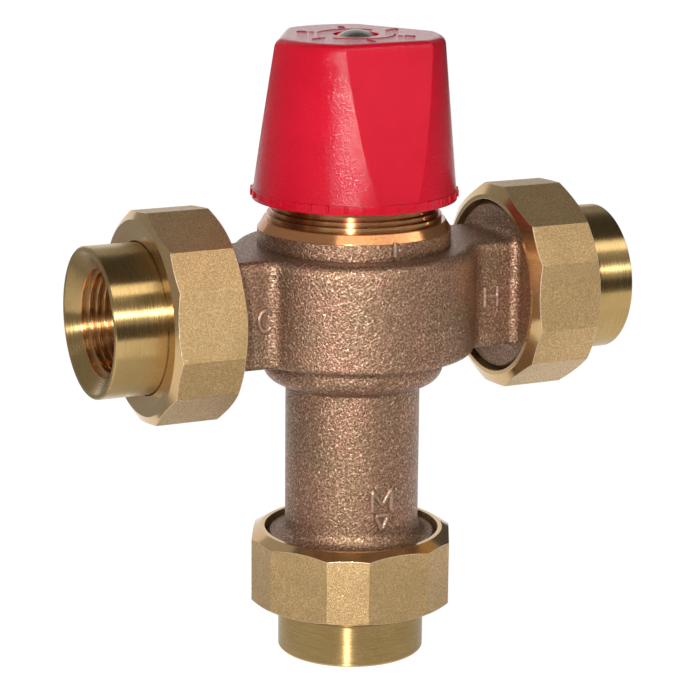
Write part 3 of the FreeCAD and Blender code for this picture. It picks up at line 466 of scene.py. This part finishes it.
def turned_brass(name, bore_radius=None, cap_reflection=None):
    """Turned yellow brass with fine tool marks round Z, which stretch its highlights along Z.

    A bore can have its own colour, and the recesses between rings a painted reflection of the red cap.
    """
    look = Shader(name)
    lines = look.turned_lines("Z", BRASS_LINES)
    tone = look.spread(look.noise(BRASS_TONES, detail=3.0), half=0.15)
    colour = look.mix(tone, BRASS_DARK, BRASS_LIGHT)
    stains = look.span(look.noise(BRASS_STAINS), 0.58, 0.75, 0.0, 0.35)
    colour = look.mix(stains, colour, BRASS_STAIN)
    if bore_radius:
        inside = look.span(look.from_axis(), bore_radius + 0.2 * MM, bore_radius - 0.1 * MM)
        colour = look.mix(inside, colour, BRASS_BORE)
    # Painted reflection of the red cap, strongest deep in the recesses under it, from ambient occlusion
    if cap_reflection:
        colour = look.mix(look.crevices(CAP_REFLECTION_REACH, 0.0), cap_reflection, colour)
    look.set(Base_Color=colour, Metallic=1.0, Roughness=look.spread(lines, 0.22, 0.36, half=0.15))
    tangent = look.add("ShaderNodeTangent", direction_type="RADIAL", axis="Z").outputs[0]
    look.set(Anisotropic=1.0, Anisotropic_Rotation=0.25, Tangent=tangent)
    look.set(Normal=look.bump(lines, BRASS_LINE_DEPTH, 0.5, look.soft_edges(BRASS_EDGE)))
    return look.material


def red_plastic():
    """Moulded red plastic: semi-gloss with a fine leather grain."""
    look = Shader("red_plastic")
    grain = look.noise(CAP_GRAIN, detail=2.0, roughness=0.6)
    tone = look.spread(look.noise(CAP_TONES, detail=2.0))
    look.set(Base_Color=look.mix(tone, CAP_DARK, CAP_LIGHT))
    look.set(Roughness=look.spread(grain, 0.08, 0.13), IOR=1.40)
    look.set(Normal=look.bump(grain, CAP_DEPTH, 1.0, look.soft_edges(CAP_EDGE)))
    return look.material


def red_mark():
    """The red of the moulded marks on the cap's top, darker than the cap as a painted shade, and duller.
    """
    look = Shader("red_mark")
    grain = look.noise(MARK_GRAIN, detail=2.0)
    look.set(Base_Color=look.mix(grain, MARK_SHADED_DARK, MARK_SHADED_LIGHT))
    look.set(Roughness=look.spread(grain, 0.6, 0.8))
    look.set(Normal=look.bump(grain, SOFT_DEPTH, 0.4))
    return look.material


def steel(name, colour, roughness, size):
    """Plain drawn or formed steel, size being that of its grain."""
    look = Shader(name)
    grain = look.noise(size, detail=3.0)
    lighter = tuple(min(1.0, 1.15 * part) for part in colour)
    look.set(Base_Color=look.mix(grain, colour, lighter), Metallic=1.0)
    look.set(Roughness=look.spread(grain, roughness, roughness + 0.12))
    look.set(Normal=look.bump(grain, STEEL_DEPTH, 0.4, look.soft_edges(STEEL_EDGE)))
    return look.material


def soft_part(name, colour, roughness, size):
    """Rubber, fibre and moulded plastic inside the valve, size being that of its grain."""
    look = Shader(name)
    grain = look.noise(size, detail=3.0)
    darker = tuple(0.75 * part for part in colour)
    look.set(Base_Color=look.mix(grain, darker, colour))
    look.set(Roughness=look.spread(grain, roughness, roughness + 0.15))
    look.set(Normal=look.bump(grain, SOFT_DEPTH, 0.4))
    return look.material


def make_looks():
    """One material for each slot of the record; the nuts have their own, one to an axis."""
    return {
        "cast_bronze": cast_bronze(),
        "turned_brass": turned_brass("turned_brass", bore_radius=PIPE_MAJOR / 2),
        # Cover brass with a painted reflection of the red cap
        "cover_brass": turned_brass("cover_brass", cap_reflection=COVER_CAP_REFLECTION),
        "red_plastic": red_plastic(),
        "stainless": steel("stainless", (0.42, 0.42, 0.38), 0.22, 0.3 * MM),
        "spring_steel": steel("spring_steel", (0.50, 0.51, 0.52), 0.28, 0.5 * MM),
        "seal_rubber": soft_part("seal_rubber", (0.03, 0.03, 0.03), 0.5, 0.6 * MM),
        "gasket_fibre": soft_part("gasket_fibre", (0.16, 0.24, 0.22), 0.75, 0.4 * MM),
        "white_plastic": soft_part("white_plastic", (0.8, 0.8, 0.76), 0.4, 1.2 * MM),
    }


def paint(data, material):
    data.materials.clear()
    data.materials.append(material)


def dress_frame(looks):
    """Give the CAD nodes their finishes."""
    for part in frame["record"]["subparts"]:
        if part["material_slot"] in looks:
            paint(nodes[part["node"]].data, looks[part["material_slot"]])
    nut_looks = {axis: blasted_brass("blasted_brass_" + axis.lower(), axis) for axis in "XZ"}
    for port in PORTS:
        paint(nodes[port + "_union_nut"].data, nut_looks["XYZ"[port_axis(port)]])


# ------------------------------------------------------------------------------------------------
# Tailpieces with their pipe threads
# ------------------------------------------------------------------------------------------------
def facing(direction):
    """A turn that brings +Z to a direction."""
    return direction.to_track_quat("Z", "Y").to_matrix().to_4x4()


def port_matrix(port):
    """Each port's own frame: +Z outward along the port, origin in its end face."""
    outward = Vector(mounts[port + "_port"]["axis"])
    low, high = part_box(port + "_tailpiece")
    axis = port_axis(port)
    end = Vector(mounts[port + "_port"]["pos_m"])
    end[axis] = high[axis] if outward[axis] > 0 else low[axis]
    return Matrix.Translation(end) @ facing(outward)


def add_object(name, data, material, body):
    """Link a finished piece, give it its look and let it ride on a body."""
    thing = new_object(name, data)
    paint(data, material)
    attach(thing, body)
    return thing


def closed_lathe(name, rows, count):
    """A closed ring of rows, each a height and a function from turn to radius, as a smooth mesh."""
    builder = bmesh.new()
    rings = []
    for height, radius in rows:
        ring = []
        for step in range(count):
            turn = step / count
            reach = radius(turn)
            angle = 2 * math.pi * turn
            ring.append(builder.verts.new((reach * math.cos(angle), reach * math.sin(angle), height)))
        rings.append(ring)
    for index, ring in enumerate(rings):
        after = rings[(index + 1) % len(rings)]
        for step in range(count):
            beyond = (step + 1) % count
            builder.faces.new((ring[step], ring[beyond], after[beyond], after[step]))
    bmesh.ops.recalc_face_normals(builder, faces=builder.faces)
    data = bpy.data.meshes.new(name)
    builder.to_mesh(data)
    builder.free()
    shade_smooth(data)
    data.set_sharp_from_angle(angle=SHARP_ANGLE)
    return data


def shade_smooth(data):
    data.polygons.foreach_set("use_smooth", [True] * len(data.polygons))


def plain_row(height, radius):
    return height, lambda turn: radius


def thread_row(height, share):
    """A row of the tapered pipe thread; share fades the thread out at its ends."""
    middle = (PIPE_MAJOR + PIPE_MINOR) / 4 + height * PIPE_TAPER
    half_depth = (PIPE_MAJOR - PIPE_MINOR) / 4

    def radius(turn):
        phase = (height / PIPE_PITCH - turn) % 1.0
        wave = max(-1.0, min(1.0, THREAD_FLATTENING * (1 - 4 * abs(phase - 0.5))))
        return middle + half_depth * (share * wave + (1 - share))
    return height, radius


def thread_rows(mouth, end):
    """Rows of the thread, from just inside the mouth cone down to its end."""
    count = int(PIPE_LENGTH / PIPE_PITCH * THREAD_ROWS)
    lead = THREAD_LEAD * PIPE_PITCH
    rows = []
    for index in range(count + 1):
        height = mouth + lead - (PIPE_LENGTH + lead) * index / count
        run_in = (mouth - height) / PIPE_PITCH + THREAD_RUN_IN
        run_out = (height - end) / PIPE_PITCH
        rows.append(thread_row(height, max(0.0, min(1.0, run_in, run_out))))
    return rows


def tail_mesh(name, length):
    """Collar, plain outside, mouth cone and a helical thread, from its own end face at z = 0."""
    mouth = -PIPE_MOUTH_DEPTH
    thread_end = mouth - PIPE_LENGTH
    outside = [
        plain_row(-length, THROAT_RADIUS),
        plain_row(-length, COLLAR_RADIUS - TAIL_EDGE),
        plain_row(-length + TAIL_EDGE, COLLAR_RADIUS),
        plain_row(-length + COLLAR_LENGTH, COLLAR_RADIUS),
        plain_row(-length + COLLAR_LENGTH, TAIL_RADIUS),
        plain_row(-TAIL_EDGE, TAIL_RADIUS),
        plain_row(0.0, TAIL_RADIUS - TAIL_EDGE),
        plain_row(0.0, PIPE_MOUTH_RADIUS),
    ]
    inside = [
        plain_row(thread_end, PIPE_MINOR / 2 - PIPE_LENGTH * PIPE_TAPER),
        plain_row(thread_end, THROAT_RADIUS),
    ]
    return closed_lathe(name, outside + thread_rows(mouth, thread_end) + inside, THREAD_STEPS)


def make_tails(looks):
    for port in PORTS:
        node = port + "_tailpiece"
        low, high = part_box(node)
        axis = port_axis(port)
        data = tail_mesh(port + "_threaded_tail", high[axis] - low[axis])
        tail = add_object(port + "_threaded_tail", data, looks["turned_brass"], "casting")
        tail.matrix_world = port_matrix(port)
        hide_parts(node)


# ------------------------------------------------------------------------------------------------
# Cast marks, and the dial on the cap
# ------------------------------------------------------------------------------------------------
def mesh_of(curve):
    """The mesh of a curve or of lettering, under the same name."""
    holder = new_object(curve.name, curve)
    bpy.context.view_layer.update()
    shaped = holder.evaluated_get(bpy.context.evaluated_depsgraph_get())
    data = bpy.data.meshes.new_from_object(shaped)
    bpy.data.objects.remove(holder)
    data.name = curve.name
    return data


def raised_text(name, words, height, rise, edge):
    """Raised lettering, centred on its own origin, as a mesh lying in its XY plane."""
    curve = bpy.data.curves.new(name, "FONT")
    curve.body = words
    curve.align_x = "CENTER"
    curve.align_y = "CENTER"
    curve.size = height * FONT_SCALE
    curve.extrude = rise
    curve.bevel_depth = edge
    curve.bevel_resolution = 2
    return mesh_of(curve)


def drawn_strokes(name, strokes, width, rise):
    """Raised strokes with rounded tops, from lists of points in the XY plane."""
    curve = bpy.data.curves.new(name, "CURVE")
    curve.dimensions = "3D"
    curve.bevel_depth = width / 2
    curve.bevel_resolution = 3
    curve.use_fill_caps = True
    for points in strokes:
        spline = curve.splines.new("POLY")
        spline.points.add(len(points) - 1)
        for point, (x, y) in zip(spline.points, points):
            point.co = (x, y, 0.0, 1.0)
    data = mesh_of(curve)
    data.transform(Matrix.Diagonal((1, 1, 2 * rise / width, 1)))
    shade_smooth(data)
    return data


def arc(radius, start, end, squash=1.0):
    """Points round an arc, angles in degrees."""
    angles = [math.radians(start + (end - start) * step / ARC_STEPS) for step in range(ARC_STEPS + 1)]
    return [(radius * squash * math.cos(angle), radius * math.sin(angle)) for angle in angles]


def letter_strokes(letter, wide, tall):
    """The capitals C, H and M as single strokes."""
    x, y = wide / 2, tall / 2
    if letter == "C":
        return [arc(y, *LETTER_C_ENDS, x / y)]
    if letter == "H":
        return [[(-x, -y), (-x, y)], [(x, -y), (x, y)], [(-x, 0), (x, 0)]]
    return [[(-x, -y), (-x, y), (0, -y * LETTER_M_DIP), (x, y), (x, -y)]]


def arrow_strokes():
    """A hollow head that points down."""
    x, y = ARROW_WIDE / 2, ARROW_TALL / 2
    return [[(-x, y), (0, -y), (x, y)], [(-x, y), (x, y)]]


def finer(points, step):
    """More points along straight runs, so that a bent stroke stays smooth."""
    result = [points[0]]
    for start, end in zip(points, points[1:]):
        count = max(1, round(math.dist(start, end) / step))
        for index in range(1, count + 1):
            share = index / count
            result.append(tuple(a + (b - a) * share for a, b in zip(start, end)))
    return result


def wrap(data, radius):
    """Bend a flat piece round the leg, from a plane that touches it."""
    for vertex in data.vertices:
        angle = vertex.co.x / radius
        reach = radius + vertex.co.z
        vertex.co = (reach * math.sin(angle), vertex.co.y, reach * math.cos(angle) - radius)


def upright(x, y, z, turn=0.0):
    """A frame whose XY plane stands facing -Y, turned about the valve's axis."""
    stand = Matrix.Rotation(math.radians(turn), 4, "Z") @ Matrix.Translation((x, y, z))
    return stand @ Matrix.Rotation(math.radians(90), 4, "X")


def make_cast_marks():
    # The cast marks are lightened by a painted highlight
    bronze = cast_bronze("cast_marks", relief=0.5, mark_highlight=0.6)
    for letter, x, z in ARM_LETTERS:
        name = "port_letter_" + letter.lower()
        data = drawn_strokes(name, letter_strokes(letter, LETTER_WIDE, LETTER_TALL), STROKE, STROKE_RISE)
        data.transform(upright(x, -ARM_HALF_DEPTH, z))
        add_object(name, data, bronze, "casting")
    leg_letter = letter_strokes("M", LEG_LETTER_WIDE, LEG_LETTER_TALL)
    for name, strokes, height in (("port_letter_m", leg_letter, LEG_LETTER_HEIGHT),
                                  ("flow_arrow", arrow_strokes(), ARROW_HEIGHT)):
        fine = [finer(points, BEND_STEP) for points in strokes]
        data = drawn_strokes(name, fine, STROKE, STROKE_RISE)
        wrap(data, LEG_RADIUS)
        data.transform(upright(0, -LEG_RADIUS, height, LEG_MARKS_TURN))
        add_object(name, data, bronze, "casting")
    data = drawn_strokes("gate_mark", [[(0, GATE_LOW), (0, GATE_HIGH)]], GATE_WIDTH, GATE_RISE)
    data.transform(upright(0, -NECK_RADIUS, GATE_HEIGHT, GATE_TURN))
    add_object("gate_mark", data, bronze, "casting")


def make_dial():
    """A plain dial on the cap's top: two arcs, and numbers with a tick each."""
    # The dial's marks are darkened by a painted shade
    mark = red_mark()
    onto_top = Matrix.Translation((0, 0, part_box("adjusting_cap")[1][2]))
    angles = [math.radians(DIAL_START + index * 360 / DIAL_NUMBERS) for index in range(DIAL_NUMBERS)]
    strokes = [arc(DIAL_ARC_RADIUS, start, end) for start, end in DIAL_ARCS]
    for angle in angles:
        strokes.append([(radius * math.cos(angle), radius * math.sin(angle))
                        for radius in (DIAL_TICK_INSIDE, DIAL_TICK_OUTSIDE)])
    data = drawn_strokes("dial_lines", strokes, DIAL_STROKE, DIAL_RISE)
    data.transform(onto_top)
    add_object("dial_lines", data, mark, "handle")
    outward = Matrix.Translation((DIAL_NUMBER_RADIUS, 0, 0)) @ Matrix.Rotation(math.radians(90), 4, "Z")
    for number, angle in enumerate(angles, start=1):
        name = "dial_number_%d" % number
        data = raised_text(name, str(number), DIAL_NUMBER_TALL, DIAL_RISE, DIAL_EDGE)
        data.transform(onto_top @ Matrix.Rotation(angle, 4, "Z") @ outward)
        add_object(name, data, mark, "handle")


# ------------------------------------------------------------------------------------------------
# Camera, lamps, floor and cards
# ------------------------------------------------------------------------------------------------
def towards(azimuth, elevation):
    """Unit vector from the valve towards a viewer; angles in degrees."""
    flat = math.cos(math.radians(elevation))
    side = math.radians(azimuth)
    return Vector((math.sin(side) * flat, -math.cos(side) * flat, math.sin(math.radians(elevation))))


def aimed(azimuth, elevation, distance):
    """The place and turn of a camera or lamp that looks at the valve."""
    back = towards(azimuth, elevation)
    return Matrix.Translation(AIM + back * distance) @ facing(back)


def place_camera():
    data = bpy.data.cameras.new("camera")
    data.lens = FOCAL
    data.sensor_width = SENSOR
    data.clip_start = CLIP_START
    camera = new_object("camera", data)
    roll = Matrix.Rotation(math.radians(ROLL), 4, "Z")
    camera.matrix_world = aimed(AZIMUTH, ELEVATION, DISTANCE) @ roll
    bpy.context.scene.camera = camera


def square_lamp(name, azimuth, elevation, distance, side, power):
    data = bpy.data.lights.new(name, "AREA")
    data.size = side
    data.energy = power
    new_object(name, data).matrix_world = aimed(azimuth, elevation, distance)


def seen_directly(tree):
    """1 for camera, glossy and transmission rays, which see the plain white background."""
    path = tree.nodes.new("ShaderNodeLightPath")
    seen = path.outputs["Is Camera Ray"]
    for name in ("Is Glossy Ray", "Is Transmission Ray"):
        either = tree.nodes.new("ShaderNodeMath")
        either.operation = "MAXIMUM"
        tree.links.new(seen, either.inputs[0])
        tree.links.new(path.outputs[name], either.inputs[1])
        seen = either.outputs[0]
    return seen


def white_world():
    """White where it is seen, and a weaker ambient light on matt surfaces."""
    world = bpy.data.worlds.new("studio")
    world.use_nodes = True
    tree = world.node_tree
    tree.nodes.clear()
    strength = tree.nodes.new("ShaderNodeMapRange")
    tree.links.new(seen_directly(tree), strength.inputs["Value"])
    strength.inputs["To Min"].default_value = AMBIENT
    strength.inputs["To Max"].default_value = 1.0
    background = tree.nodes.new("ShaderNodeBackground")
    background.inputs["Color"].default_value = opaque(WHITE)
    tree.links.new(strength.outputs[0], background.inputs["Strength"])
    output = tree.nodes.new("ShaderNodeOutputWorld")
    tree.links.new(background.outputs[0], output.inputs[0])
    bpy.context.scene.world = world


def pale_floor():
    """A wide pale disc under the outlet's end face, white to the eye and still taking the shadow."""
    data = bpy.data.meshes.new("floor")
    builder = bmesh.new()
    bmesh.ops.create_circle(builder, cap_ends=True, radius=FLOOR_RADIUS, segments=FLOOR_SIDES)
    builder.to_mesh(data)
    builder.free()
    floor = new_object("floor", data)
    look = Shader("floor")
    look.set(Base_Color=opaque(FLOOR_COLOUR), Roughness=0.9)
    glow = look.add("ShaderNodeEmission")
    glow.inputs["Strength"].default_value = FLOOR_LEVEL
    blend = look.add("ShaderNodeMixShader")
    look.link(look.math("MULTIPLY", seen_directly(look.tree), FLOOR_WHITE), blend.inputs[0])
    look.link(look.surface.outputs[0], blend.inputs[1])
    look.link(glow.outputs[0], blend.inputs[2])
    look.link(blend.outputs[0], look.output.inputs["Surface"])
    data.materials.append(look.material)


def glossy_card(name, points, faces, level):
    """A plain glowing card that only shiny surfaces see.

    These cards are the dark and bright bands that polished brass shows.
    """
    data = bpy.data.meshes.new(name)
    data.from_pydata(points, [], faces)
    card = new_object(name, data)
    look = Shader(name)
    look.set(Base_Color=opaque(BLACK), Roughness=1.0)
    look.set(Emission_Color=opaque(WHITE), Emission_Strength=level)
    data.materials.append(look.material)
    card.visible_camera = False
    card.visible_diffuse = False
    card.visible_transmission = False
    card.visible_shadow = False


def strip_card(name, radius, low, high, level):
    """A long card along X, bent round the ports' height between two angles up from the front."""
    steps = max(2, round((high - low) / STRIP_STEP))
    points = []
    for step in range(steps + 1):
        angle = math.radians(low + (high - low) * step / steps)
        for side in (-STRIP_REACH, STRIP_REACH):
            points.append((side, -radius * math.cos(angle), port_height + radius * math.sin(angle)))
    faces = [(2 * step, 2 * step + 1, 2 * step + 3, 2 * step + 2) for step in range(steps)]
    glossy_card(name, points, faces, level)


def build_studio():
    place_camera()
    white_world()
    pale_floor()
    square = [(0, 1, 2, 3)]
    for name, level, x, (front, back), (low, high) in STANDING_CARDS:
        corners = [(x, front, low), (x, back, low), (x, back, high), (x, front, high)]
        glossy_card(name, corners, square, level)
    for name, level, (left, right), (front, back), z in LYING_CARDS:
        corners = [(left, front, z), (right, front, z), (right, back, z), (left, back, z)]
        glossy_card(name, corners, square, level)
    for strip in STRIPS:
        strip_card(*strip)
    for lamp in LAMPS:
        square_lamp(*lamp)


# ------------------------------------------------------------------------------------------------
# Build
# ------------------------------------------------------------------------------------------------
finishes = make_looks()
dress_frame(finishes)
make_tails(finishes)
make_cast_marks()
make_dial()
build_studio()
bpy.context.scene.view_settings.view_transform = "Standard"
